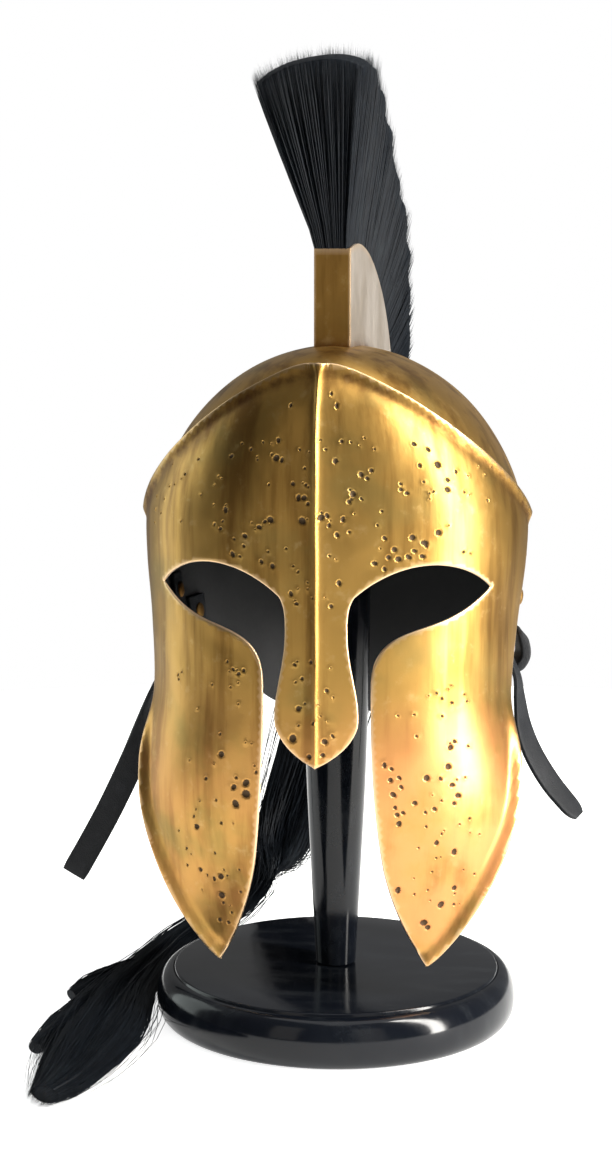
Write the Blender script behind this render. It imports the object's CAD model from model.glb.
import math

import bpy
import numpy as np
from mathutils import Matrix, Vector, geometry, kdtree


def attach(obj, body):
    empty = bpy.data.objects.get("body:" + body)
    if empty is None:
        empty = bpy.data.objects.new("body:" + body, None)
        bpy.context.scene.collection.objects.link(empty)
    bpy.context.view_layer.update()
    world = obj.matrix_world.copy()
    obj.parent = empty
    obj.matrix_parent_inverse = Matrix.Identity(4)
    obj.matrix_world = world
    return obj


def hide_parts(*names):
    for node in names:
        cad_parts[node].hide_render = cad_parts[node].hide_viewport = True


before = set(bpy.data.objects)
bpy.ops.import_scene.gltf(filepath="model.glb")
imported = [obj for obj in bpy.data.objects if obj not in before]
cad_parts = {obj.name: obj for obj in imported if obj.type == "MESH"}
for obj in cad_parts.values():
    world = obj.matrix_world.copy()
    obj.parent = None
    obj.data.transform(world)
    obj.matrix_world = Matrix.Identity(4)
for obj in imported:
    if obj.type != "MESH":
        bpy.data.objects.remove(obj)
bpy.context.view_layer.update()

# A Greek bronze helmet with a horsehair crest on its turned stand. Shapes are worked out in
# millimetres and made in metres. The face looks along -Y and +X is the wearer's left side.
toMetres = 0.001
sheetThickness = 2.0


def curveThrough(keys, values, at):
    # a smooth curve through a table's rows
    keys, values = np.array(keys, float), np.array(values, float)
    if keys[0] > keys[-1]:
        keys, values = keys[::-1], values[::-1]
    at = np.clip(at, keys[0], keys[-1])
    row = np.clip(np.searchsorted(keys, at) - 1, 0, len(keys) - 2)
    slopes = np.empty_like(values)
    slopes[1:-1] = (values[2:] - values[:-2]) / (keys[2:] - keys[:-2])
    slopes[0] = (values[1] - values[0]) / (keys[1] - keys[0])
    slopes[-1] = (values[-1] - values[-2]) / (keys[-1] - keys[-2])
    span = keys[row + 1] - keys[row]
    t = (at - keys[row]) / span
    return (
        (2 * t**3 - 3 * t**2 + 1) * values[row]
        + (t**3 - 2 * t**2 + t) * span * slopes[row]
        + (3 * t**2 - 2 * t**3) * values[row + 1]
        + (t**3 - t**2) * span * slopes[row + 1]
    )


def column(table, index):
    return [row[index] for row in table]


def tableCurve(table, index, at):
    # a column of a table over its first column
    return curveThrough(column(table, 0), column(table, index), at)


def rowsAt(rows, columns, share):
    # columns of a table at shares of the way through its rows
    keys = np.linspace(0, 1, len(rows))
    return np.stack([curveThrough(keys, column(rows, i), share) for i in columns], -1)


def routeAt(rows, share):
    # a route's centre and its direction
    ahead, behind = (rowsAt(rows, range(3), share + step) for step in (1e-3, -1e-3))
    return rowsAt(rows, range(3), share), unit(ahead - behind)


def squareTo(forward, guess):
    return unit(guess - forward * (guess * forward).sum(-1, keepdims=True))


def bezier(a, b, c, d, count):
    t = np.linspace(0, 1, count)[:, None]
    a, b, c, d = (np.array(p, float) for p in (a, b, c, d))
    return a * (1 - t) ** 3 + 3 * b * t * (1 - t) ** 2 + 3 * c * t**2 * (1 - t) + d * t**3


def wayAlong(points):
    # how far along a polyline each of its points lies
    return np.concatenate([[0], np.cumsum(np.linalg.norm(np.diff(points, axis=0), axis=1))])


def roundFour(u, last=1):
    # round four walls (front, left, back, right): the share along a piece and the share across it
    turn = (u * 4) % 4
    wall, part = np.floor(turn), turn % 1
    walls = [wall == 0, wall == 1, wall == 2]
    along = np.select(walls, [0 * u, part * last, 0 * u + last], last - part * last)
    across = np.select(walls, [part * 2 - 1, 0 * u + 1, 1 - part * 2], 0 * u - 1)
    return along, across


def smooth(share):
    share = np.clip(share, 0, 1)
    return share * share * (3 - 2 * share)


def blend(first, last, share):
    return first + (last - first) * share


def unit(vectors):
    return vectors / np.maximum(np.linalg.norm(vectors, axis=-1, keepdims=True), 1e-9)


def deselectAll():
    bpy.ops.object.select_all(action="DESELECT")


def activate(piece):
    deselectAll()
    piece.select_set(True)
    bpy.context.view_layer.objects.active = piece


def givePiece(piece, node, finishes):
    # the piece stands for a node of the frame and takes its finish
    piece.data.materials.clear()
    for finish in finishes:
        piece.data.materials.append(finish)
    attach(piece, "root")
    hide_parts(node)


def placeVertices(piece, points):
    piece.data.vertices.foreach_set("co", (np.asarray(points) * toMetres).astype(np.float32).ravel())
    piece.data.update()


def verticesOf(piece):
    points = np.empty(len(piece.data.vertices) * 3, np.float32)
    piece.data.vertices.foreach_get("co", points)
    return points.reshape(-1, 3) / toMetres


def gridPiece(name, across, along, place):
    # a flat grid, bent to shape by a function of its shares across and along
    deselectAll()
    bpy.ops.mesh.primitive_grid_add(x_subdivisions=across, y_subdivisions=along, size=2)
    piece = bpy.context.object
    piece.name = piece.data.name = name
    flat = verticesOf(piece) * toMetres
    placeVertices(piece, place((flat[:, 0] + 1) / 2, (flat[:, 1] + 1) / 2))
    return piece


def closeUp(piece, fill=False):
    # welds seams and poles, fills open ends where asked, and turns the faces outwards
    activate(piece)
    bpy.ops.object.mode_set(mode="EDIT")
    bpy.ops.mesh.select_all(action="SELECT")
    bpy.ops.mesh.remove_doubles(threshold=2e-6)
    bpy.ops.mesh.dissolve_degenerate(threshold=1e-7)
    if fill:
        bpy.ops.mesh.select_all(action="SELECT")
        bpy.ops.mesh.fill_holes(sides=0)
    bpy.ops.mesh.select_all(action="SELECT")
    bpy.ops.mesh.normals_make_consistent(inside=False)
    bpy.ops.object.mode_set(mode="OBJECT")


def finishWith(piece, kind, **settings):
    activate(piece)
    modifier = piece.modifiers.new(kind.lower(), kind)
    for key, value in settings.items():
        setattr(modifier, key, value)
    bpy.ops.object.modifier_apply(modifier=modifier.name)


def thicken(piece, thickness, rimRound, degrees, **settings):
    # gives a surface its sheet thickness and rounds the edges
    finishWith(
        piece, "SOLIDIFY", thickness=thickness * toMetres, offset=-1, use_even_offset=True, **settings
    )
    finishWith(
        piece, "BEVEL", width=rimRound, segments=3, limit_method="ANGLE", angle_limit=math.radians(degrees)
    )


def smoothShade(piece, degrees):
    activate(piece)
    bpy.ops.object.shade_smooth_by_angle(angle=math.radians(degrees))


def meshPiece(name, points, faces):
    mesh = bpy.data.meshes.new(name)
    mesh.from_pydata((np.asarray(points) * toMetres).tolist(), [], faces)
    mesh.validate()
    piece = bpy.data.objects.new(name, mesh)
    bpy.context.collection.objects.link(piece)
    return piece


def lathePiece(name, profile, steps):
    # a profile of radius and height, spun round the upright axis
    piece = meshPiece(name, [(r, 0, z) for r, z in profile], [])
    piece.data.edges.add(len(profile) - 1)
    piece.data.edges.foreach_set("vertices", [i for j in range(len(profile) - 1) for i in (j, j + 1)])
    activate(piece)
    bpy.ops.object.mode_set(mode="EDIT")
    bpy.ops.mesh.select_all(action="SELECT")
    bpy.ops.mesh.spin(steps=steps, angle=2 * math.pi, center=(0, 0, 0), axis=(0, 0, 1))
    bpy.ops.object.mode_set(mode="OBJECT")
    closeUp(piece)
    return piece


def paintMarks(piece, channels):
    # a colour per vertex that the finishes read: dents, worn edges, tarnish
    marks = piece.data.color_attributes.new("marks", "FLOAT_COLOR", "POINT")
    colours = np.ones((len(piece.data.vertices), 4), np.float32)
    for i in range(3):
        colours[:, i] = channels[i]
    marks.data.foreach_set("color", colours.ravel())


def nearness(points, line, reach):
    # 1 on a line of points and 0 beyond its reach
    tree = kdtree.KDTree(len(line))
    for i, p in enumerate(line):
        tree.insert(p, i)
    tree.balance()
    distance = np.array([tree.find(p)[2] for p in points])
    return smooth(1 - distance / reach)


class Wire:
    # one socket of a material, so that its maths reads as plain expressions
    def __init__(self, tree, socket=None):
        self.tree, self.socket = tree, socket

    def node(self, kind, settings=None, inputs=None, output=0):
        made = self.tree.nodes.new("ShaderNode" + kind)
        for key, value in (settings or {}).items():
            if key == "stops":
                while len(made.color_ramp.elements) < len(value):
                    made.color_ramp.elements.new(0.5)
                for stop, (place, colour) in zip(made.color_ramp.elements, value):
                    stop.position, stop.color = place, (*colour, 1)
            else:
                setattr(made, key, value)
        for key, value in (inputs or {}).items():
            if isinstance(value, Wire):
                self.tree.links.new(value.socket, made.inputs[key])
            else:
                made.inputs[key].default_value = value
        return Wire(self.tree, made.outputs[output])

    def maths(self, operation, first, second=0.0):
        return self.node("Math", {"operation": operation}, {0: first, 1: second})

    def __add__(self, other):
        return self.maths("ADD", self, other)

    def __radd__(self, other):
        return self.maths("ADD", other, self)

    def __sub__(self, other):
        return self.maths("SUBTRACT", self, other)

    def __rsub__(self, other):
        return self.maths("SUBTRACT", other, self)

    def __mul__(self, other):
        return self.maths("MULTIPLY", self, other)

    def __rmul__(self, other):
        return self.maths("MULTIPLY", other, self)

    def outputs(self, *indices):
        # other outputs of the same node
        return [Wire(self.tree, self.socket.node.outputs[i]) for i in indices]

    def ramp(self, low, high):
        # 0 below low and 1 above high, also falling where low is the larger
        return self.node(
            "MapRange",
            {"interpolation_type": "SMOOTHSTEP"},
            {"Value": self, "From Min": low, "From Max": high},
        )

    def mix(self, first, second, share):
        colours = [c if isinstance(c, Wire) else (*c, 1) for c in (first, second)]
        return self.node(
            "Mix", {"data_type": "RGBA"}, {0: share, 6: colours[0], 7: colours[1]}, 2
        )

    def noise(self, where, scale, detail=3.0, roughness=0.5):
        return self.node(
            "TexNoise", {}, {"Vector": where, "Scale": scale, "Detail": detail, "Roughness": roughness}
        )

    def bump(self, height, strength, distance):
        return self.node("Bump", {}, {"Strength": strength, "Distance": distance, "Height": height})

    def stretched(self, where, scale, turn=(0, 0, 0)):
        return self.node("Mapping", {}, {"Vector": where, "Scale": scale, "Rotation": turn})


def newFinish(name):
    material = bpy.data.materials.new(name)
    material.use_nodes = True
    tree = material.node_tree
    tree.nodes.clear()
    wire = Wire(tree)
    where = wire.node("TexCoord", output=3)
    return material, wire, where


def shaderOut(material, wire, base, roughness, bump, more=None):
    inputs = {"Base Color": base, "Roughness": roughness, "Normal": bump, **(more or {})}
    shader = wire.node("BsdfPrincipled", {}, inputs)
    out = wire.tree.nodes.new("ShaderNodeOutputMaterial")
    wire.tree.links.new(shader.socket, out.inputs["Surface"])
    return material


bronzeTones = {
    "gold": (0.40, 0.235, 0.062),
    "pale": (0.58, 0.42, 0.19),
    "brown": (0.15, 0.072, 0.016),
    "olive": (0.24, 0.175, 0.055),
    "copper": (0.62, 0.27, 0.10),
    "tarnish": (0.06, 0.022, 0.008),
    "dent": (0.035, 0.02, 0.008),
    "worn": (0.92, 0.68, 0.44),
    "rubbed": (0.70, 0.64, 0.57),
    "dusty": (0.52, 0.46, 0.39),
}


def agedBronze(name, darkness=0.0, copperFrom=0.0, rough=0.27, marked=True, paleSides=False):
    # brass-coloured bronze with clouds of patina, faint upright wipe marks and dark dents
    material, wire, where = newFinish(name)
    clouds = wire.noise(where, 22, 4, 0.55)
    mottling = wire.noise(where, 120, 5, 0.6)
    wiped = wire.noise(wire.stretched(where, (1, 1, 0.10)), 75, 4, 0.55)
    fine = wire.noise(wire.stretched(where, (1, 1, 0.07)), 700, 2, 0.5)
    x, y, z = wire.node("SeparateXYZ", {}, {0: where}).outputs(0, 1, 2)
    t = bronzeTones
    base = wire.mix(t["gold"], t["brown"], wiped.ramp(0.42, 0.68) * 0.8 + darkness)
    base = wire.mix(base, t["olive"], clouds.ramp(0.5, 0.72) * 0.55)
    base = wire.mix(base, t["pale"], mottling.ramp(0.55, 0.8) * 0.35)
    if paleSides:  # the crest box's side walls are rubbed pale
        sides = wire.maths("ABSOLUTE", x).ramp(0.0092, 0.0099) * y.ramp(-0.0219, -0.0205)
        rubbed = wire.mix(t["rubbed"], t["dusty"], clouds.ramp(0.4, 0.7))
        base = wire.mix(base, rubbed, sides * 0.9)
    rightSide = x.ramp(-0.01, 0.05)
    copper = z.ramp(0.215, 0.15) * (0.35 + 0.65 * rightSide) * clouds.ramp(0.68, 0.4)
    base = wire.mix(base, t["copper"], copper * copperFrom)
    roughness = rough + mottling * 0.10 + wiped * 0.10
    metal = 1.0
    height = mottling * 0.35 + fine * 0.12 + clouds * 0.6
    if marked:
        marks = wire.node("Attribute", {"attribute_name": "marks"})
        dent, worn, tarnish = wire.node("SeparateColor", {}, {0: marks}).outputs(0, 1, 2)
        base = wire.mix(base, t["tarnish"], tarnish * (0.55 + mottling.ramp(0.35, 0.62) * 0.45))
        base = wire.mix(base, t["worn"], worn * 0.8)
        base = wire.mix(base, t["dent"], dent.ramp(0.15, 0.7) * 0.93)
        roughness = roughness + dent * 0.25 + tarnish * 0.12 - worn * 0.05
        metal = 1 - dent * 0.5
    bump = wire.bump(height, 0.35, 0.0006)
    return shaderOut(material, wire, base, roughness, bump, {"Metallic": metal})


def blackPaint(name):
    # the black coat inside the metal
    material, wire, where = newFinish(name)
    grain = wire.noise(where, 300, 4, 0.6)
    base = wire.mix((0.004, 0.004, 0.005), (0.010, 0.010, 0.011), grain)
    return shaderOut(material, wire, base, 0.6 + grain * 0.2, wire.bump(grain, 0.2, 0.0004))


def horsehair(name, shine=0.46):
    material, wire, where = newFinish(name)
    strands = wire.noise(wire.stretched(where, (1, 1, 0.05)), 900, 3, 0.6)
    clouds = wire.noise(where, 45, 3, 0.5)
    base = wire.mix((0.002, 0.003, 0.005), (0.006, 0.009, 0.013), strands.ramp(0.35, 0.75))
    base = wire.mix(base, (0.009, 0.013, 0.016), clouds.ramp(0.55, 0.8) * 0.5)
    bump = wire.bump(strands, 0.5, 0.0005)
    return shaderOut(material, wire, base, shine + strands * 0.2, bump, {"Specular IOR Level": 0.12})


def blackLeather(name):
    # dyed leather with a pebbled grain and rubbed lighter patches
    material, wire, where = newFinish(name)
    edges = {"feature": "DISTANCE_TO_EDGE"}
    pebbles = wire.node("TexVoronoi", edges, {"Vector": where, "Scale": 900.0})
    creases = wire.noise(wire.stretched(where, (1, 1, 0.5)), 140, 4, 0.65)
    base = wire.mix((0.004, 0.005, 0.007), (0.014, 0.015, 0.018), creases.ramp(0.45, 0.8))
    bump = wire.bump(pebbles.ramp(0.0, 0.35) * 0.5 + creases, 0.4, 0.0005)
    return shaderOut(material, wire, base, 0.42 + creases * 0.25, bump, {"Specular IOR Level": 0.25})


def blackLacquer(name, rough=0.12):
    # glossy black lacquer with dust, faint smears and a slight blue cast
    material, wire, where = newFinish(name)
    smears = wire.noise(wire.stretched(where, (1, 3.5, 1), (0, 0, 0.35)), 28, 5, 0.62)
    dust = wire.noise(where, 1500, 2, 0.5)
    base = wire.mix((0.0035, 0.0045, 0.007), (0.011, 0.013, 0.016), smears.ramp(0.45, 0.75))
    base = wire.mix(base, (0.16, 0.16, 0.17), dust.ramp(0.75, 0.82) * 0.3)
    bump = wire.bump(wire.noise(where, 35, 2, 0.5), 0.12, 0.001)
    roughness = rough + smears.ramp(0.4, 0.8) * 0.16
    return shaderOut(material, wire, base, roughness, bump, {"Specular IOR Level": 0.26})


plateBronze = agedBronze("plateBronze", copperFrom=0.85)
bowlBronze = agedBronze("bowlBronze", rough=0.30)
boxBronze = agedBronze("boxBronze", darkness=0.5, rough=0.38, paleSides=True)
rivetBronze = agedBronze("rivetBronze", darkness=0.9, rough=0.5, marked=False)
innerPaint = blackPaint("innerPaint")
plumeHair = horsehair("plumeHair")
strapLeather = blackLeather("strapLeather")
standLacquer = blackLacquer("standLacquer")
print("finishes made")


bowlShape = {
    "widestLevel": 262, "crown": 378, "halfWidth": 104.6, "middle": 12, "front": 88, "back": 126,
    "squareness": 2.3, "foreheadPower": 5,
}
bowlWall = [  # level, half width, reach to the back
    (262, 104.6, 126), (230, 100.1, 124), (200, 97.5, 121), (180, 97, 122), (162, 98, 128), (146, 101, 139),
]
bowlRim = [  # angle round the head from the face, level of the rim
    (0, 304), (44, 298), (60, 262), (74, 226), (86, 216), (104, 208), (118, 203), (133, 181),
    (148, 157), (164, 148), (180, 146),
]


def edgeLevel(line, angle):
    return tableCurve(line, 1, np.abs(np.degrees(angle)))


def outline(angle, z, halfWidth, front, back, squareness):
    bend = 2 / squareness
    side, ahead = np.sin(angle), np.cos(angle)
    reach = np.where(ahead > 0, front, back)
    return np.stack(
        [
            halfWidth * np.sign(side) * np.abs(side) ** bend,
            bowlShape["middle"] - reach * np.sign(ahead) * np.abs(ahead) ** bend,
            z + 0 * angle,
        ],
        -1,
    )


def domeShare(z, power):
    s = bowlShape
    up = np.clip((z - s["widestLevel"]) / (s["crown"] - s["widestLevel"]), 0, 1)
    return (1 - up**power) ** (1 / power)


def bowlPoint(angle, z):
    s = bowlShape
    above = z >= s["widestLevel"]
    halfWidth = np.where(above, s["halfWidth"] * domeShare(z, 2), tableCurve(bowlWall, 1, z))
    front = np.where(above, s["front"] * domeShare(z, s["foreheadPower"]), s["front"])
    back = np.where(above, s["back"] * domeShare(z, 2), tableCurve(bowlWall, 2, z))
    return outline(angle, z, halfWidth, front, back, s["squareness"])


def offsetPoint(surface, a, b, distance):
    # a surface moved along its own normal; positive is outwards
    step = 1e-3
    alongA = surface(a + step, b) - surface(a - step, b)
    alongB = surface(a, b + step * 50) - surface(a, b - step * 50)
    return surface(a, b) + unit(np.cross(alongA, alongB)) * np.expand_dims(distance, -1)


def bowlHeight(x, y):
    # the dome's level above a place on its plan
    s = bowlShape
    low, high = np.full(x.shape, float(s["widestLevel"])), np.full(x.shape, s["crown"] - 1e-4)
    for _ in range(30):
        z = (low + high) / 2
        reach = np.where(
            y < s["middle"], s["front"] * domeShare(z, s["foreheadPower"]), s["back"] * domeShare(z, 2)
        )
        inside = (np.abs(x) / (s["halfWidth"] * domeShare(z, 2))) ** s["squareness"] + (
            np.abs(y - s["middle"]) / reach
        ) ** s["squareness"] < 1
        low, high = np.where(inside, z, low), np.where(inside, high, z)
    return low


bowlDetail = {"columns": 200, "rows": 84, "rimRound": 0.00065, "ripple": 0.16, "heart": 250}


def makeBowl():
    d, crown, middle = bowlDetail, bowlShape["crown"], bowlShape["middle"]

    def place(u, v):
        angle = 2 * math.pi * u
        low = edgeLevel(bowlRim, np.minimum(angle, 2 * math.pi - angle))
        z = blend(low, crown, np.sin(v * math.pi / 2))
        points = bowlPoint(angle, np.minimum(z, crown - 0.05))
        points[v > 0.9999] = (0, middle, crown)
        ripple = d["ripple"] * np.sin(points[:, 0] / 13 + 1) * np.sin(points[:, 1] / 16)
        ripple *= np.sin(points[:, 2] / 11)
        away = unit(points - np.array([0, middle, d["heart"]]))
        return points + away * ripple[:, None] * smooth((1 - v) * 12)[:, None]

    piece = gridPiece("skull_bowl_shell", d["columns"], d["rows"], place)
    closeUp(piece)
    piece.data.materials.append(bowlBronze)
    piece.data.materials.append(innerPaint)
    thicken(piece, sheetThickness, d["rimRound"], 50, material_offset=1)
    smoothShade(piece, 40)
    keep = np.empty(len(piece.data.polygons), np.int32)
    piece.data.polygons.foreach_get("material_index", keep)
    givePiece(piece, "skull_bowl", [bowlBronze, innerPaint])
    piece.data.polygons.foreach_set("material_index", keep)
    angle = np.linspace(-math.pi, math.pi, 900)
    rim = bowlPoint(angle, edgeLevel(bowlRim, angle))
    points = verticesOf(piece)
    paintMarks(piece, [0, nearness(points, rim, 2.4), nearness(points, rim, 9)])


makeBowl()
print("skull bowl made")


plateShape = {
    "squareness": 2.15, "keel": 5, "keelReach": 15, "bead": 0.9, "beadReach": 1.5, "rearAngle": 81.5,
    "rimTurn": 2.7, "rimReach": 6.5, "cheekTurn": 4.6, "cheekReach": 9, "edgeRound": 0.9,
    "spacing": 2.5, "innerSpacing": 4.5, "unevenness": 0.22, "meanLevel": 240.0, "meanSteps": 1800,
    "ridge": (-3.4, -2.3, -1.5, -0.9, -0.4, 0, 0.4, 0.9, 1.5, 2.3, 3.4), "ridgeReach": 4.3,
}
dentShape = {  # share of the radius and number of points of each ring, then depth and lip
    "rings": ((0.45, 6), (0.8, 9), (1.03, 10), (1.25, 10), (1.6, 10)), "depth": 0.95, "lip": 0.09,
    "margin": 1.3, "seed": 7,
}
plateWall = [  # level, half width, reach to the front
    (376, 42, 76), (366, 57, 84), (352, 76, 91.4), (340, 85.5, 94.6), (329, 92, 96.4), (318, 97.5, 97.5),
    (302, 103.5, 98), (286, 107, 98), (262, 107, 98), (229, 104.6, 98.4), (192, 104.6, 98.8),
    (160, 110.5, 98.6), (130, 114.5, 96.5), (98, 113.5, 90), (65, 111.5, 81), (40, 110, 72.5),
]
browLine = [  # angle, level of the upper edge
    (0, 369.5), (8, 368.8), (18, 365), (30, 356), (44, 341.5), (58, 323.5), (70, 306.5), (77, 296),
    (81.5, 288),
]
cheekLine = [  # angle, level of the cheek guard's tip, lower edge and rear edge
    (0, 47), (28, 47.5), (31, 51), (34.5, 57), (40, 68), (46.5, 83), (52.4, 99), (57.4, 116), (62, 136),
    (66, 160), (70.2, 191), (75.2, 228), (79, 260), (81.5, 286),
]
openingStart = (0, 160.5)
openingCurves = [  # two handles and an end a row, from the nose guard's tip round the eye to the chin
    (7, 163, 19, 171, 22, 182), (24, 196, 17, 212, 16.6, 230), (16.4, 240, 17, 246, 20, 250),
    (29, 258, 43, 266, 59, 266), (71, 266, 82, 261, 88.5, 252), (80, 243, 71, 238, 59, 234.5),
    (44, 230, 29.5, 227, 28.6, 206), (28, 175, 30, 135, 34.5, 104), (38, 84, 46, 62, 57.6, 43),
    (57.6, 36, 57.6, 28, 57.6, 20),
]
# Dents eaten into the bronze: place across, level, radius.
chartedDents = [
    (-14, 349, 1.6), (10, 349, 1.8), (7, 355, 1.3), (-21, 322, 2.2), (-18, 321, 1.7), (-20, 331, 1.7),
    (-46, 322, 1.7), (-35, 326, 1.2), (13, 331, 1.5), (10, 321, 1.9), (5, 327, 1.2), (23, 314, 1.7),
    (28, 316, 1.6), (26, 312, 1.4), (19, 304, 1.9), (17, 300, 1.4), (-9, 302, 2), (-6, 302, 1.8),
    (-4, 299, 1.3), (-7, 290, 2.2), (3, 292, 2.2), (6, 293, 1.7), (7, 288, 1.6), (14, 291, 1.9),
    (-24, 290, 2), (-27, 289, 1.4), (-30, 286, 1.7), (-38, 281, 1.7), (-49, 294, 2), (-52, 284, 1.5),
    (-12, 309, 1.4), (11, 283, 1.7), (35, 281, 1.6), (49, 281, 1.9), (55, 278, 2.2), (50, 274, 1.6),
    (40, 275, 1.7), (37, 271, 1.5), (42, 270, 1.9), (47, 271, 1.9), (54, 271, 1.7), (30, 268, 1.9),
    (35, 265, 1.6), (-45, 271, 1.9), (-29, 268, 1.5), (-23, 266, 1.6), (-10, 247, 1.4), (-13, 252, 1.7),
    (8, 246, 1.4), (12, 258, 1.8), (49, 329, 1.6), (56, 326, 1.6), (61, 318, 2), (52, 318, 1.3),
    (66, 305, 1.8), (66, 310, 1.4), (70, 314, 1.3), (46, 304, 1.5), (43, 306, 1.4), (62, 283, 1.8),
    (-9, 192, 1.7), (-12, 176, 2.4), (-2, 217, 1.3), (-1, 185, 1.3), (5, 175, 1.8), (9, 178, 1.4),
    (-11, 215, 1.3), (-7, 208, 1.2), (6, 202, 1.4), (-3, 167, 1.5), (4, 168, 1.5), (-42, 208, 1.5),
    (-45, 210, 1.4), (-39, 210, 1.3), (-52, 164, 1.9), (-38, 150, 2.4), (-38, 144, 2.5), (-45, 147, 1.9),
    (-44, 138, 2.5), (-67, 122, 1.9), (-38, 96, 2.3), (-54, 95, 2), (-58, 93, 1.5), (-54, 84, 2.2),
    (-51, 68, 1.3), (-56, 69, 1.4), (-66, 97, 1.4), (69, 169, 1.9), (71, 172, 1.4), (68, 159, 1.9),
    (57, 154, 2), (64, 153, 1.5), (35.5, 162, 1.8), (39, 160, 1.3), (38.5, 154, 1.6), (43, 155, 1.6),
    (44, 150, 1.5), (40, 146, 1.9), (41, 139, 1.4), (42, 135, 1.5), (45, 136, 1.3), (43, 130, 1.9),
    (70, 149, 1.8), (73, 143, 1.9), (71, 139, 1.4), (51, 141, 1.6), (61, 137, 1.5), (62, 118, 1.6),
    (71, 112, 2.2), (38.5, 102, 2.2), (42, 92, 2.2), (71, 91, 1.7), (64, 82, 2.4),
    (55, 72, 2.3), (57, 69, 1.7),
]
# Smaller ones lie scattered: place across, level, spread each way, how many, radius.
scatteredDents = [
    (-32, 300, 34, 30, 26, 0.95), (28, 300, 34, 34, 26, 0.95), (-84, 300, 12, 18, 12, 0.9),
    (72, 296, 16, 26, 12, 0.9), (0, 262, 16, 14, 10, 0.8), (0, 205, 12, 26, 10, 0.8),
    (-60, 190, 26, 24, 14, 0.9), (-56, 130, 24, 34, 20, 0.95), (-56, 85, 14, 16, 8, 0.9),
    (66, 190, 26, 22, 14, 0.9), (62, 130, 22, 34, 20, 0.95), (66, 92, 18, 18, 10, 0.9),
]


def plateForm(angle, z):
    s = plateShape
    front = tableCurve(plateWall, 2, z)
    points = outline(angle, z, tableCurve(plateWall, 1, z), front, front, s["squareness"])
    away = np.abs(points[..., 0])
    bead = s["bead"] * np.exp(-((away / s["beadReach"]) ** 2))
    points[..., 1] -= s["keel"] * np.exp(-away / s["keelReach"]) + bead
    return points


def fromEdge(line, angle, z):
    step = math.radians(0.5)
    slope = (edgeLevel(line, angle + step) - edgeLevel(line, angle - step)) / (2 * step * 107)
    return np.abs(z - edgeLevel(line, angle)) / np.hypot(1, slope)


def turnedOut(angle, z):
    s = plateShape
    beside = 1 - smooth((z - 150) / 40)
    brow = smooth(1 - fromEdge(browLine, angle, z) / s["rimReach"])
    cheek = smooth(1 - fromEdge(cheekLine, angle, z) / s["cheekReach"])
    return s["rimTurn"] * brow + s["cheekTurn"] * cheek * beside


# The plate is laid out flat: the way along its mean level line, and the level.
meanAngles = np.radians(np.linspace(-90, 90, 2 * plateShape["meanSteps"] + 1))
meanWay = wayAlong(plateForm(meanAngles, np.full(len(meanAngles), plateShape["meanLevel"])))
meanWay -= meanWay[plateShape["meanSteps"]]


def wayOf(angle):
    return np.interp(angle, meanAngles, meanWay)


def angleOf(way):
    return np.interp(way, meanWay, meanAngles)


def angleAcross(x, z):
    share = np.clip(np.abs(x) / tableCurve(plateWall, 1, z), 0, 1)
    return np.sign(x) * np.arcsin(share ** (plateShape["squareness"] / 2))


def evenly(points, spacing):
    # a polyline with points at even steps
    points = np.asarray(points, float)
    way = wayAlong(points)
    count = max(2, int(round(way[-1] / spacing)) + 1)
    at = np.linspace(0, way[-1], count)
    return np.stack([np.interp(at, way, points[:, i]) for i in range(points.shape[1])], -1)


def openingHalf():
    points, start = [], openingStart
    for row in openingCurves:
        points.append(evenly(bezier(start, row[:2], row[2:4], row[4:], 25), 1.6)[:-1])
        start = row[4:]
    return np.concatenate(points)


def plateBorder():
    # one closed border: brow, rear edge, cheek guard, round the eye, then the other side
    opening = openingHalf()
    angle = angleAcross(opening[:, 0], opening[:, 1])
    inside = opening[:, 1] > edgeLevel(cheekLine, angle) + 0.6
    last = int(np.argmin(inside)) if not inside.all() else len(inside)
    opening = np.stack([wayOf(angle), opening[:, 1]], -1)[:last]
    tip = opening[-1]
    rear = math.radians(plateShape["rearAngle"])
    browAngles = np.linspace(0, rear, 300)
    brow = evenly(np.stack([wayOf(browAngles), edgeLevel(browLine, browAngles)], -1), 1.8)
    cheekAngles = np.linspace(rear, float(angleOf(tip[0])), 300)
    cheek = evenly(np.stack([wayOf(cheekAngles), edgeLevel(cheekLine, cheekAngles)], -1), 1.8)
    half = np.concatenate([brow, cheek, opening[::-1]])  # from the brow's middle to the nose guard's tip
    other = half[1:-1][::-1] * (-1, 1)
    return np.concatenate([half, other])


def insetBorder(border, distance):
    ahead, behind = np.roll(border, -1, 0), np.roll(border, 1, 0)
    first, second = unit(border - behind), unit(ahead - border)
    normal = np.stack([first[:, 1] + second[:, 1], -first[:, 0] - second[:, 0]], -1) / 2
    return border + normal * distance / np.maximum((normal**2).sum(-1, keepdims=True), 0.25)


def distanceTo(border, points):
    start, end = border, np.roll(border, -1, 0)
    best = np.full(len(points), 1e9)
    for i in range(0, len(points), 2000):
        p = points[i : i + 2000, None, :]
        along = np.clip(((p - start) * (end - start)).sum(-1) / ((end - start) ** 2).sum(-1), 0, 1)
        best[i : i + 2000] = np.linalg.norm(p - start - along[..., None] * (end - start), axis=-1).min(1)
    return best


def insideOf(border, points):
    start, end = border, np.roll(border, -1, 0)
    inside = np.zeros(len(points), bool)
    for i in range(0, len(points), 2000):
        x, z = points[i : i + 2000, 0, None], points[i : i + 2000, 1, None]
        crosses = (start[:, 1] > z) != (end[:, 1] > z)
        rise = np.where(end[:, 1] == start[:, 1], 1e-9, end[:, 1] - start[:, 1])
        at = start[:, 0] + (z - start[:, 1]) * (end[:, 0] - start[:, 0]) / rise
        inside[i : i + 2000] = (crosses & (x < at)).sum(1) % 2 == 1
    return inside


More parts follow.
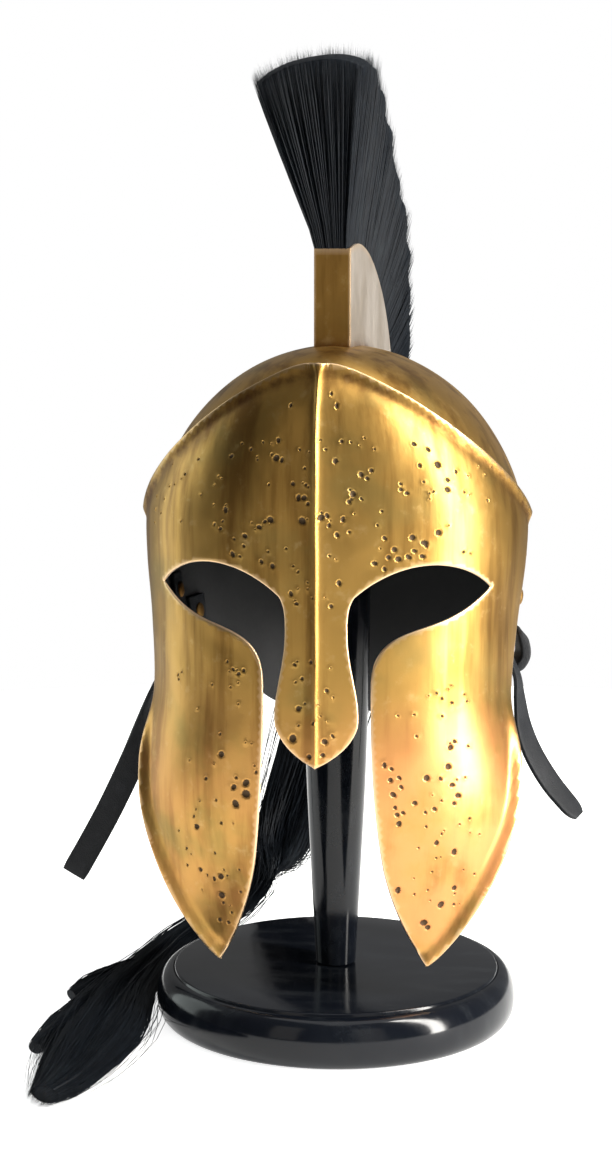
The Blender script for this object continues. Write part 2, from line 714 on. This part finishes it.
def dentList(border):
    draw = np.random.default_rng(dentShape["seed"])
    rows = list(chartedDents)
    for x, z, spreadX, spreadZ, count, radius in scatteredDents:
        for _ in range(count):
            place = x + draw.uniform(-1, 1) * spreadX, z + draw.uniform(-1, 1) * spreadZ
            rows.append((*place, radius * draw.uniform(0.65, 1.25)))
    rows = np.array(rows)
    way = wayOf(angleAcross(rows[:, 0], rows[:, 1]))
    turn, narrow = draw.uniform(0, math.pi, len(rows)), draw.uniform(0.68, 1, len(rows))
    dents = np.stack([way, rows[:, 1], rows[:, 2], turn, narrow], -1)
    clear = distanceTo(border, dents[:, :2]) > dents[:, 2] + dentShape["margin"]
    return dents[insideOf(border, dents[:, :2]) & clear]


def dentDepth(points, dents):
    # how deep each place lies in the nearest dent (0 to 1), and how high on its raised lip
    depth, lip = np.zeros(len(points)), np.zeros(len(points))
    for way, level, radius, turn, narrow in dents:
        near = np.nonzero((np.abs(points[:, 0] - way) < 6) & (np.abs(points[:, 1] - level) < 6))[0]
        if not len(near):
            continue
        dx, dz = points[near, 0] - way, points[near, 1] - level
        along = dx * math.cos(turn) + dz * math.sin(turn)
        across = (dz * math.cos(turn) - dx * math.sin(turn)) / narrow
        away = np.hypot(along, across) / radius
        share = np.clip(1 - away**2, 0, 1) ** 0.75
        depth[near] = np.maximum(depth[near], share * min(1.0, radius / 2))
        lip[near] = np.maximum(lip[near], np.exp(-(((away - 1.2) / 0.22) ** 2)))
    return depth, lip


def triangulate(border, rings, inner):
    count = len(border)
    points = np.concatenate([border, *rings, inner])
    edges = [(i, (i + 1) % count) for i in range(count)]
    found = geometry.delaunay_2d_cdt([Vector(p) for p in points], edges, [], 1, 1e-5)
    return np.array([tuple(p) for p in found[0]]), [tuple(f) for f in found[2]], found[3]


def plateSkin(border, spacing, dents, facing):
    # one face of the sheet; facing is 1 outside and -1 inside
    s = plateShape
    rings = [insetBorder(border, d) for d in (0.14, 0.45, s["edgeRound"])]
    lo, hi = border.min(0), border.max(0)
    rows = np.arange(lo[1], hi[1], spacing * 0.866)
    lattice = []
    for i, level in enumerate(rows):
        across = np.arange(0, hi[0], spacing) + (spacing / 2 if i % 2 else 0)
        across = np.concatenate([-(across[::-1] if i % 2 else across[:0:-1]), across])
        lattice.append(np.stack([across, np.full(len(across), level)], -1))
    lattice = np.concatenate(lattice)
    ridge = []
    for level in np.arange(lo[1], hi[1], 2.0):
        ridge += [(x, level) for x in s["ridge"]]
    lattice = lattice[np.abs(lattice[:, 0]) > s["ridgeReach"]] if facing > 0 else lattice
    extra = [lattice] + ([np.array(ridge)] if facing > 0 else [])
    for way, level, radius, turn, narrow in dents:
        lattice = extra[0]
        away = np.hypot(lattice[:, 0] - way, lattice[:, 1] - level)
        extra[0] = lattice[away > radius * 1.7]
        ring = [(way, level)]
        for share, count in dentShape["rings"]:
            for k in range(count):
                a = 2 * math.pi * (k + share) / count
                along, across = radius * share * math.cos(a), radius * share * math.sin(a) * narrow
                x = way + along * math.cos(turn) - across * math.sin(turn)
                ring.append((x, level + along * math.sin(turn) + across * math.cos(turn)))
        extra.append(np.array(ring))
    inner = np.concatenate(extra)
    inner = inner[insideOf(border, inner)]
    inner = inner[distanceTo(border, inner) > 1.25]
    rings = [ring[insideOf(border, ring)] for ring in rings]
    flat, faces, origins = triangulate(border, rings, inner)
    # where each flat place lies on the sheet
    fromBorder = distanceTo(border, flat)
    fromBorder[[bool(o) and min(o) < len(border) for o in origins]] = 0
    angle, z = angleOf(flat[:, 0]), flat[:, 1]
    r = s["edgeRound"]
    rounded = r - np.sqrt(np.clip(r * r - np.clip(r - fromBorder, 0, r) ** 2, 0, None))
    uneven = s["unevenness"] * (
        np.sin(flat[:, 0] / 9 + 1.3 * np.sin(z / 17)) * np.sin(z / 14 + 0.8 * np.sin(flat[:, 0] / 13))
        + 0.7 * np.sin(flat[:, 0] / 23 + z / 41 + 2)
    )
    depth, lip = dentDepth(flat, dents)
    distance = turnedOut(angle, z) + uneven * smooth((fromBorder - 1) / 10)
    if facing > 0:
        distance = distance - rounded - depth * dentShape["depth"] + lip * dentShape["lip"]
    else:
        distance = distance - sheetThickness + rounded
    points = offsetPoint(plateForm, angle, z, distance)
    marks = [
        np.clip(depth * 1.6, 0, 1),
        smooth(1 - fromBorder / 1.5),
        smooth(1 - fromEdge(browLine, angle, z) / 17) * smooth((fromBorder - 1.6) / 2.5),
    ]
    if facing < 0:
        faces = [f[::-1] for f in faces]
    border = {min(o): i for i, o in enumerate(origins) if o and min(o) < len(border)}
    return points, faces, marks, [border[i] for i in range(len(border))]


def makePlate():
    border = plateBorder()
    dents = dentList(border)
    outer, outerFaces, outerMarks, outerRim = plateSkin(border, plateShape["spacing"], dents, 1)
    inner, innerFaces, innerMarks, innerRim = plateSkin(border, plateShape["innerSpacing"], dents[:0], -1)
    start = len(outer)
    faces = list(outerFaces) + [tuple(i + start for i in f) for f in innerFaces]
    index = [0] * len(outerFaces) + [1] * len(innerFaces)
    count = len(border)
    for i in range(count):
        j = (i + 1) % count
        faces.append((outerRim[j], outerRim[i], innerRim[i] + start, innerRim[j] + start))
        index.append(0)
    piece = meshPiece("face_plate_shell", np.concatenate([outer, inner]), faces)
    paintMarks(piece, [np.concatenate([a, b]) for a, b in zip(outerMarks, innerMarks)])
    givePiece(piece, "face_plate", [plateBronze, innerPaint])
    piece.data.polygons.foreach_set("material_index", index)
    smoothShade(piece, 50)


makePlate()
print("face plate made")


boxWall = 1.6
boxRows = [  # place along the crest, lean, height, half width
    (-22, 0, 52, 9.8), (5, 2, 55, 11.6), (30, 12, 52.5, 13.2), (55, 22, 49, 14.6), (78, 33, 46, 15.8),
    (98, 44, 42, 16.6), (114, 55, 36, 17), (126, 67, 26, 16.2), (133, 80, 14, 14.6),
]


def boxColumn(index, share):
    return rowsAt(boxRows, (index,), share)[..., 0]


def upright(lean):
    lean = np.radians(lean)
    return np.stack([0 * lean, np.sin(lean), np.cos(lean)], -1)


def crestFoot(y):
    s = bowlShape
    ahead = y < s["middle"]
    share = np.where(ahead, (s["middle"] - y) / s["front"], (y - s["middle"]) / s["back"])
    power = np.where(ahead, s["foreheadPower"], 2)
    rise = (1 - np.clip(share, 0, 1) ** power) ** (1 / power)
    return np.stack([0 * y, y, s["widestLevel"] + (s["crown"] - s["widestLevel"]) * rise], -1)


def boxTop(share):
    rows = np.array(boxRows)
    tops = crestFoot(rows[:, 0]) + upright(rows[:, 1]) * rows[:, 2:3]
    return rowsAt(tops, range(3), share)


def makeBox():
    def place(u, v):
        share, across = roundFour(u)
        foot = crestFoot(boxColumn(0, share))
        x = across * boxColumn(3, share)
        foot[:, 0] = x
        foot[:, 2] = bowlHeight(x, foot[:, 1]) - 0.5
        top = boxTop(share)
        top[:, 0] = x
        return blend(foot, top, v[:, None])

    piece = gridPiece("crest_box_shell", 160, 14, place)
    closeUp(piece)
    thicken(piece, boxWall, 0.0005, 40)
    smoothShade(piece, 35)
    givePiece(piece, "crest_box", [boxBronze])
    share = np.linspace(0, 1, 120)
    top = boxTop(share)
    width = boxColumn(3, share)
    front, _, tall, half = boxRows[0]
    upper = top[0][2]
    corners = [(x, front, upper) for x in np.linspace(-half, half, 30)]
    for side in (-1, 1):
        corners += [(side * w, p[1], p[2]) for w, p in zip(width, top)]
        corners += [(side * half, front, z) for z in np.linspace(upper - tall, upper, 60)]
    points = verticesOf(piece)
    low = smooth(1 - (points[:, 2] - bowlHeight(points[:, 0], np.clip(points[:, 1], -70, 130))) / 6)
    paintMarks(piece, [0, nearness(points, corners, 1.5) * 0.6, low * 0.8])


makeBox()
print("crest box made")


brushRows = [  # share along the box, lean, length, half width, shift to the side
    (0.0, -17, 104, 31, -9.5), (0.04, -10, 103, 33, -9.5), (0.11, -1, 101, 31, -8), (0.19, 6, 96, 29, -6),
    (0.28, 13, 83, 28, -3), (0.38, 22, 70, 27, -1), (0.48, 31, 64, 29, 0), (0.57, 41, 58, 29, 0),
    (0.66, 51, 52, 29, -1), (0.74, 61, 47, 28, -1), (0.82, 74, 41, 25, -2), (0.88, 88, 36, 22, -2),
]
brushDetail = {
    "root": 12, "frontHairs": 1300, "sideHairs": 2500, "topHairs": 1700, "steps": 6, "radius": 0.27,
    "tufts": 130, "gather": 0.4, "ragged": 1.6, "core": 0.93, "coreEnd": 0.86, "seed": 21,
}


def brushColumn(index, share):
    return tableCurve(brushRows, index, share)


def brushPoint(along, across, reach, fill=1.0):
    # a place in the brush: share along the box, share across it, share of the hair's length
    d = brushDetail
    up = upright(brushColumn(1, along))
    root = boxTop(along) - up * d["root"]
    inBox = boxColumn(3, along) - boxWall - 0.8
    spread = np.clip((reach - 0.1) / 0.9, 0, 1) ** 0.95
    lock = 0.5 + 0.5 * np.cos(2 * math.pi * (along - 0.04) / 0.088)
    crown = 0.985 - 0.05 * np.abs(across) ** 3 + 0.045 * across - 0.03 * across**2 + 0.02 * lock
    length = (brushColumn(2, along) * crown + d["root"]) * reach
    half = brushColumn(3, along) * (0.96 + 0.05 * lock)
    points = root + up * length[..., None]
    points[..., 0] += brushColumn(4, along) * spread + across * fill * blend(inBox, half, spread)
    return points


def hairPiece(name, node, paths, outwards, radius):
    # thin three-sided hairs, each closed and drawn to a point
    count, steps = paths.shape[:2]
    along = unit(np.gradient(paths, axis=1))
    side = unit(np.cross(along, outwards))
    lift = np.cross(side, along)
    width = radius * np.interp(np.linspace(0, 1, steps), [0, 0.15, 0.6, 1], [0.7, 1, 0.9, 0.35])
    rings = []
    for k in range(3):
        a = 2 * math.pi * k / 3 + math.pi / 2
        rings.append(paths + (side * math.cos(a) + lift * math.sin(a)) * width[None, :, None])
    rings = np.stack(rings, 2)[:, :-1]  # hair, step, corner
    points = np.concatenate([rings.reshape(count, -1, 3), paths[:, -1:]], 1)
    each = points.shape[1]
    faces = [(0, 2, 1)]
    for i in range(steps - 2):
        for k in range(3):
            a, b = 3 * i + k, 3 * i + (k + 1) % 3
            faces.append((a, b, b + 3, a + 3))
    for k in range(3):
        faces.append((each - 4 + k, each - 4 + (k + 1) % 3, each - 1))
    starts = np.arange(count) * each
    quads = [f for f in faces if len(f) == 4]
    others = [f for f in faces if len(f) == 3]
    every = []
    for group in (quads, others):
        every += (np.array(group)[None] + starts[:, None, None]).reshape(-1, len(group[0])).tolist()
    piece = meshPiece(name, points.reshape(-1, 3), every)
    givePiece(piece, node, [plumeHair])
    smoothShade(piece, 80)


def corePiece(name, node, across, along, place):
    # a dark heart for the hair
    core = gridPiece(name, across, along, place)
    closeUp(core, fill=True)
    givePiece(core, node, [plumeHair])
    smoothShade(core, 60)


def makeBrush():
    d = brushDetail
    draw = np.random.default_rng(d["seed"])
    front, sides, top = d["frontHairs"], d["sideHairs"], d["topHairs"]
    along = np.concatenate([draw.uniform(0, 0.06, front), draw.uniform(0, 0.88, sides + top)])
    edge = draw.uniform(0.86, 1.0, sides) * draw.choice([-1, 1], sides)
    across = np.concatenate([draw.uniform(-1, 1, front), edge, draw.uniform(-1, 1, top)])
    tufts = np.stack([draw.uniform(0, 0.88, d["tufts"]), draw.uniform(-1, 1, d["tufts"])], -1)
    nearest = ((along[:, None] - tufts[:, 0]) ** 2 * 30 + (across[:, None] - tufts[:, 1]) ** 2).argmin(1)
    gather = d["gather"] * draw.uniform(0.2, 1, len(along))
    pull = np.exp(-((along - tufts[nearest, 0]) ** 2 * 30 + (across - tufts[nearest, 1]) ** 2) * 12)
    tipAlong = blend(along, tufts[nearest, 0], gather * pull)
    tipAcross = blend(across, tufts[nearest, 1], gather * pull)
    length = 1 + draw.normal(0, d["ragged"] / 100, len(along))
    wander = draw.normal(0, 1.1, (len(along), 3))
    paths = []
    for reach in np.linspace(0.02, 1, d["steps"]):
        lean = [blend(a, b, reach**2) for a, b in ((along, tipAlong), (across, tipAcross))]
        points = brushPoint(*lean, reach * length)
        paths.append(points + wander * reach**2 * (1 - reach) * 1.8 + wander * reach**3 * 0.35)
    paths = np.stack(paths, 1)
    outwards = np.broadcast_to(np.array([1.0, 0.3, 0.1]), paths.shape)
    hairPiece("plume_brush_hair", "plume_brush", paths, outwards, d["radius"])

    def place(u, v):
        # round the four sides, then in over the top to a middle line
        share, side = roundFour(u, d["coreEnd"])
        over = np.clip((v - 0.75) / 0.25, 0, 1)
        side = side * np.cos(over * math.pi / 2)
        share = blend(share, np.clip(share, 0.08, 0.78), np.sin(over * math.pi / 2))
        reach = np.clip(v / 0.75, 0, 1) * 0.955 + 0.01 + 0.012 * np.sin(over * math.pi / 2)
        wave = np.cos(u * 2 * math.pi * 56 + 2 * np.sin(v * 5 + u * 40))
        grooves = 1 - 0.03 * (0.5 + 0.5 * wave) * np.clip(v * 3, 0, 1)
        return brushPoint(np.clip(share, 0.012, 1), side, reach, d["core"] * grooves)

    corePiece("plume_brush_core", "plume_brush", 448, 40, place)


makeBrush()
print("brush of the plume made")

tailLocks = {  # rows of centres with width and thickness
    "fall": [
        (0, 131, 303, 24, 17), (0, 147, 302, 26, 16), (-1, 161, 290, 30, 17), (-3, 170, 264, 34, 18),
        (-8, 175, 229, 38, 20), (-17, 179, 188, 42, 20), (-29, 180, 144, 44, 20), (-41, 178, 100, 43, 20),
        (-54, 171, 60, 38, 19), (-69, 157, 35, 32, 18), (-84, 138, 20, 27, 17), (-98, 115, 12, 21, 16),
        (-110.5, 87, 9.5, 18, 15), (-115.5, 52, 9, 23, 15), (-119, 18, 9, 30, 16), (-121.5, -18, 9.3, 38, 17),
        (-120, -55, 9.5, 46, 17.4), (-119, -90, 9.3, 47, 17), (-120, -122, 8.7, 41, 16),
        (-122, -150, 7.6, 31, 13.6), (-129, -174, 6, 13, 9),
    ],
    "sideLock": [
        (-117, 44, 9, 12, 12), (-119, 34, 9.5, 14, 14), (-131, 14, 9.6, 20, 14), (-143, -2, 8.6, 18, 12),
        (-152, -13, 6, 9, 7),
    ],
    "outerLock": [
        (-122, 5, 9, 18, 14), (-128, -15, 9.3, 22, 15), (-136, -50, 9, 24, 14), (-143, -80, 8, 20, 12),
        (-150, -101, 5.6, 9, 7),
    ],
    "tuft": [(-92, 120, 18, 10, 8), (-103, 118, 26, 9, 6), (-112, 117, 31, 6, 4), (-119, 116, 33, 2, 2)],
}
tailDetail = {  # number of hairs and steps of each lock
    "fall": (980, 27), "sideLock": (130, 12), "outerLock": (190, 12), "tuft": (40, 7), "radius": 0.32,
    "core": 0.9, "loose": 60, "tufts": 26, "floor": 0.45, "seed": 5,
}


def tailFrame(rows, share):
    # centre, across, deep, half width and half thickness at shares of the way along a lock
    centre, forward = routeAt(rows, share)
    lying = np.clip(np.hypot(forward[..., 0], forward[..., 1]) * 1.6 - 0.5, 0, 1)[..., None]
    level = np.cross(np.array([0, 0, 1.0]), forward)
    guess = np.array([1.0, 0, 0]) * (1 - lying) - level * lying
    across = squareTo(forward, guess)
    half = rowsAt(rows, (3, 4), share) / 2
    return centre, across, np.cross(forward, across), half[..., 0], half[..., 1]


def tailPoint(rows, share, turn, fill):
    centre, across, deep, wide, thick = tailFrame(rows, share)
    points = centre + across * (wide * np.cos(turn) * fill)[..., None]
    points = points + deep * (thick * np.sin(turn) * fill)[..., None]
    points[..., 2] = np.maximum(points[..., 2], tailDetail["floor"])
    return points


def makeTail():
    d = tailDetail
    draw = np.random.default_rng(d["seed"])
    for name, rows in tailLocks.items():
        (count, steps), fall = d[name], name == "fall"
        turn = draw.uniform(0, 2 * math.pi, count)
        fill = np.sqrt(draw.uniform(0.55, 1.0, count)) * 1.01
        first = np.zeros(count)
        if fall:
            first = draw.uniform(0, 0.3, count) * (draw.uniform(0, 1, count) > 0.6)
        last = 1 - draw.uniform(0, 1, count) ** 3 * (0.16 if fall else 0.3)
        if fall:
            fill[: d["loose"]] *= draw.uniform(1.12, 1.5, d["loose"])
        phase = draw.uniform(0, 2 * math.pi, count)
        tufts = draw.uniform(0, 2 * math.pi, d["tufts"])
        paths, outwards = [], []
        for part in np.linspace(0, 1, steps):
            share = blend(first, last, part)
            near = tufts[np.abs(np.angle(np.exp(1j * (turn[:, None] - tufts)))).argmin(1)]
            toTuft = np.angle(np.exp(1j * (near - turn)))
            angle = turn + toTuft * 0.5 * smooth(share * 1.3) + 0.28 * np.sin(share * 9 + phase)
            swell = fill * (1 + 0.05 * np.sin(share * 23 + phase * 2))
            middle = tailPoint(rows, share, angle, 0 * swell)
            points = tailPoint(rows, share, angle, swell)
            paths.append(points)
            outwards.append(unit(points - middle + 1e-6))
        paths, outwards = np.stack(paths, 1), np.stack(outwards, 1)
        hairPiece(f"plume_{name}_hair", "plume_tail", paths, outwards, d["radius"])

        def place(u, v):
            grooves = 1 - 0.05 * (0.5 + 0.5 * np.cos(u * 2 * math.pi * 22 + 3 * np.sin(v * 9)))
            return tailPoint(rows, v * 0.985, u * 2 * math.pi, d["core"] * grooves)

        if name != "tuft":
            corePiece(f"plume_{name}_core", "plume_tail", 176, 12 * len(rows), place)


makeTail()
print("tail of the plume made")


leatherThick = 3.0
rivetGap = 0.4
lining = -(sheetThickness + 1.6 * rivetGap + leatherThick / 2)
strapShape = {"width": 15, "y": 32, "levels": (246, 236, 225, 208), "rivet": 236}
tabShape = {"width": 20, "y": 60, "rivet": 220}
rivetShape = {"head": 4.6, "dome": 1.8, "shank": 1.6}
tabRows = [  # level, distance outwards from the bowl's wall
    (229, lining), (220, lining), (209, lining), (198, lining + 0.6), (191, 0.5), (192.5, 6), (199, 9.4),
    (207, 8), (215, 3.4),
]
freeEnds = {  # centres with the direction of the strap's width
    "right": [
        (-96.4, 32, 200.5, 0, 1, 0), (-103, 31, 190.5, 0.1, 1, 0), (-108.6, 31, 177, 0.35, 0.93, -0.15),
        (-114.5, 30, 159, 0.66, 0.7, -0.25), (-121, 29, 141, 0.84, 0.4, -0.36),
        (-129, 28, 123, 0.9, 0.15, -0.4), (-137.8, 27, 105, 0.9, 0, -0.43), (-147.5, 26, 87, 0.89, 0, -0.46),
        (-158.5, 25, 67.5, 0.88, 0, -0.48),
    ],
    "left": [
        (95.6, 32, 200.5, 0, 1, 0), (99.6, 32, 190, 0.1, 1, 0), (101, 32, 178, 0.25, 0.96, 0.1),
        (103.5, 31, 162, 0.42, 0.88, 0.2), (109.2, 29, 147, 0.5, 0.82, 0.28),
        (119, 26, 131.5, 0.5, 0.8, 0.34), (129.5, 23, 119.5, 0.42, 0.84, 0.34),
        (136, 22, 113, 0.4, 0.85, 0.34),
    ],
}


def wallAngle(y, z):
    share = (y - bowlShape["middle"]) / tableCurve(bowlWall, 2, np.array(float(z)))
    return math.acos(-(float(share) ** (bowlShape["squareness"] / 2)))


def wallPoint(side, y, z, distance, turn=0.0):
    angle = np.array(side * (wallAngle(y, z) + turn))
    return offsetPoint(bowlPoint, angle, np.array(float(z)), np.array(float(distance)))


def wallRow(side, y, z, distance):
    point = wallPoint(side, y, z, distance)
    wide = unit(wallPoint(side, y, z, distance, 0.01) - point)
    return (*point, *wide)


def strapPiece(node, rows, width, endShape):
    def place(u, v):
        centre, forward = routeAt(rows, v)
        wide = squareTo(forward, rowsAt(rows, range(3, 6), v))
        thick = np.cross(forward, wide)
        turn = u * 2 * math.pi
        flat = np.sign(np.cos(turn)) * np.abs(np.cos(turn)) ** 0.28
        deep = np.sign(np.sin(turn)) * np.abs(np.sin(turn)) ** 0.45
        narrowed, thinned = endShape(v)
        cup = 0.35 * (flat**2 - 0.5)
        return (
            centre
            + wide * (flat * width / 2 * narrowed)[:, None]
            + thick * (deep * leatherThick / 2 * thinned * 0.98 - cup * 0.6)[:, None]
        )

    piece = gridPiece(f"{node}_leather", 48, 110, place)
    closeUp(piece, fill=True)
    givePiece(piece, node, [strapLeather])
    smoothShade(piece, 50)


def rivetPiece(node, side, y, z):
    head, dome, shank = rivetShape.values()
    grip = sheetThickness + leatherThick + 3 * rivetGap
    t = np.linspace(0, math.pi / 2, 9)
    low = [(head * math.sin(a), -dome * math.cos(a)) for a in t]
    high = [(head * math.cos(a), grip + dome * math.sin(a)) for a in t]
    profile = [(max(r, 0), h) for r, h in low + [(shank, 0.0), (shank, grip)] + high]
    profile[0], profile[-1] = (0, -dome), (0, grip + dome)
    piece = lathePiece(f"{node}_head", profile, 32)
    start = wallPoint(side, y, z, lining - leatherThick / 2 - rivetGap / 2)
    out = Vector(unit(wallPoint(side, y, z, 0) - start))
    piece.data.transform(out.to_track_quat("Z", "Y").to_matrix().to_4x4())
    piece.data.transform(Matrix.Translation(Vector(start) * toMetres))
    givePiece(piece, node, [rivetBronze])
    smoothShade(piece, 40)


def squareEnd(v):
    return 1 - 0.06 * smooth((v - 0.985) / 0.015), 1 - 0.5 * smooth((v - 0.985) / 0.015)


def taperedEnd(v):
    return 1 - 0.45 * np.clip((v - 0.90) / 0.10, 0, 1) ** 2.2, 1 - 0.4 * smooth((v - 0.97) / 0.03)


def foldedEnd(v):
    # the loop outside the bowl is doubled leather
    return 1 - 0.2 * smooth((v - 0.95) / 0.05), 1 + 1.1 * smooth((v - 0.5) / 0.15) * smooth((1 - v) / 0.12)


for side, hand, endShape in ((-1, "right", squareEnd), (1, "left", taperedEnd)):
    inside = [wallRow(side, strapShape["y"], z, lining) for z in strapShape["levels"]]
    strapPiece(f"chin_strap_{hand}", inside + freeEnds[hand], strapShape["width"], endShape)
    folded = [wallRow(side, tabShape["y"], z, away) for z, away in tabRows]
    strapPiece(f"strap_tab_{hand}", folded, tabShape["width"], foldedEnd)
    rivetPiece(f"strap_rivet_{hand}", side, strapShape["y"], strapShape["rivet"])
    rivetPiece(f"tab_rivet_{hand}", side, tabShape["y"], tabShape["rivet"])
print("leather and rivets made")


baseShape = {"radius": 101.6, "height": 29, "flat": 91.5, "step": 1.4, "foot": 94}
postRows = [  # level, radius
    (29.4, 11.2), (75, 13.6), (140, 16.8), (210, 18.6), (300, 20), (325, 24), (338, 36), (346, 40),
    (354, 38.5), (364, 31), (371, 18), (373.6, 0),
]


def lacquered(node, profile, steps):
    piece = lathePiece(f"{node}_lacquered", profile, steps)
    givePiece(piece, node, [standLacquer])
    smoothShade(piece, 40)


def makeStand():
    wide, top, flat, step, foot = baseShape.values()
    shoulder = top - step
    profile = [(0, 0), (60, 0), (90, 0)]
    profile += bezier((foot, 0), (foot + 5, 0), (wide, 5), (wide, 12), 14).tolist()
    profile += bezier((wide, 12), (wide, 21), (97.6, shoulder), (flat + 0.9, shoulder), 18)[1:].tolist()
    profile += [(flat + 0.5, shoulder - 0.5), (flat + 0.1, shoulder + 0.1), (flat - 0.1, top - 0.5)]
    profile += [(flat - 0.5, top - 0.1), (flat - 1.2, top), (70, top), (35, top), (0, top)]
    lacquered("stand_base", profile, 192)
    start, crown = postRows[0][0], postRows[-1][0]
    levels = np.concatenate([np.linspace(start, 320, 40), np.linspace(324, 373, 40)])
    radii = tableCurve(postRows, 1, levels)
    radii[-1] = min(radii[-1], 9)
    profile = [(0, start), (radii[0] - 0.7, start), (radii[0], 30.1)] + list(zip(radii[1:], levels[1:]))
    lacquered("stand_post", profile + [(4, 373.5), (0, crown)], 96)


makeStand()
print("stand made")


studio = {
    "camera": (0.14624, -1.19106, 0.407), "tilt": (82.5, 0, 7.81), "lens": 67.78,
    "floor": 1.05, "backdrop": 0.26, "room": 0.05, "ceiling": 0.15,
}
floorFinish = {
    "Base Color": (0.82, 0.83, 0.82, 1), "Roughness": 0.7, "Emission Color": (1, 1, 1, 1),
    "Emission Strength": 0.85,
}
lamps = [  # name, place, aimed at, width, height, watts, colour
    ("tallRight", (1.14, -0.40, 1.0), (0, 0, 0.8), 0.22, 2.2, 78, (1, 0.97, 0.92)),
    ("wideLeft", (-1.15, 0.25, 0.45), (0, 0, 0.27), 0.6, 1.1, 4.5, (0.9, 1, 0.97)),
    ("frontLeft", (-0.55, -1.2, 0.55), (0, 0, 0.27), 0.4, 1.0, 1.0, (1, 0.93, 0.82)),
    ("frontRight", (0.62, -1.15, 0.5), (0, 0, 0.27), 0.4, 1.0, 1.0, (1, 0.95, 0.86)),
    ("overhead", (0.1, -0.1, 1.7), (0, 0, 0), 1.3, 1.3, 8, (1, 1, 1)),
]


def makeStudio():
    s = studio
    cameraData = bpy.data.cameras.new("studioCamera")
    cameraData.lens, cameraData.sensor_width = s["lens"], 36
    camera = bpy.data.objects.new("studioCamera", cameraData)
    camera.location = s["camera"]
    camera.rotation_euler = [math.radians(a) for a in s["tilt"]]
    bpy.context.collection.objects.link(camera)
    scene = bpy.context.scene
    scene.camera = camera
    scene.view_settings.view_transform = "Standard"
    for name, place, aim, width, height, watts, colour in lamps:
        data = bpy.data.lights.new(name, "AREA")
        data.shape, data.size, data.size_y = "RECTANGLE", width, height
        data.energy, data.color = watts, colour
        lamp = bpy.data.objects.new(name, data)
        lamp.location = place
        lamp.rotation_euler = (Vector(aim) - Vector(place)).to_track_quat("-Z", "Y").to_euler()
        bpy.context.collection.objects.link(lamp)
    deselectAll()
    bpy.ops.mesh.primitive_circle_add(vertices=96, radius=s["floor"], fill_type="NGON")
    floor = bpy.context.object
    floor.name = "floor"
    material = bpy.data.materials.new("paleFloor")
    material.use_nodes = True
    shader = material.node_tree.nodes["Principled BSDF"]
    for key, value in floorFinish.items():
        shader.inputs[key].default_value = value
    floor.data.materials.append(material)
    world = bpy.data.worlds.new("studioWorld")
    scene.world = world
    world.use_nodes = True
    tree = world.node_tree
    tree.nodes.clear()
    wire = Wire(tree)
    heading = wire.node("TexCoord", output=0)
    y, z = wire.node("SeparateXYZ", {}, {0: heading}).outputs(1, 2)
    overhead = z.ramp(0.35, 0.9) * (s["ceiling"] - s["room"])
    glow = y.ramp(-0.5, 0.6) * (s["backdrop"] - s["room"]) + s["room"] + overhead
    seen = wire.node("LightPath")  # the camera sees plain white behind the object
    strength = seen + (1 - seen) * glow
    background = wire.node("Background", {}, {"Color": (1, 1, 1, 1), "Strength": strength})
    out = tree.nodes.new("ShaderNodeOutputWorld")
    tree.links.new(background.socket, out.inputs["Surface"])


makeStudio()
print("studio made")
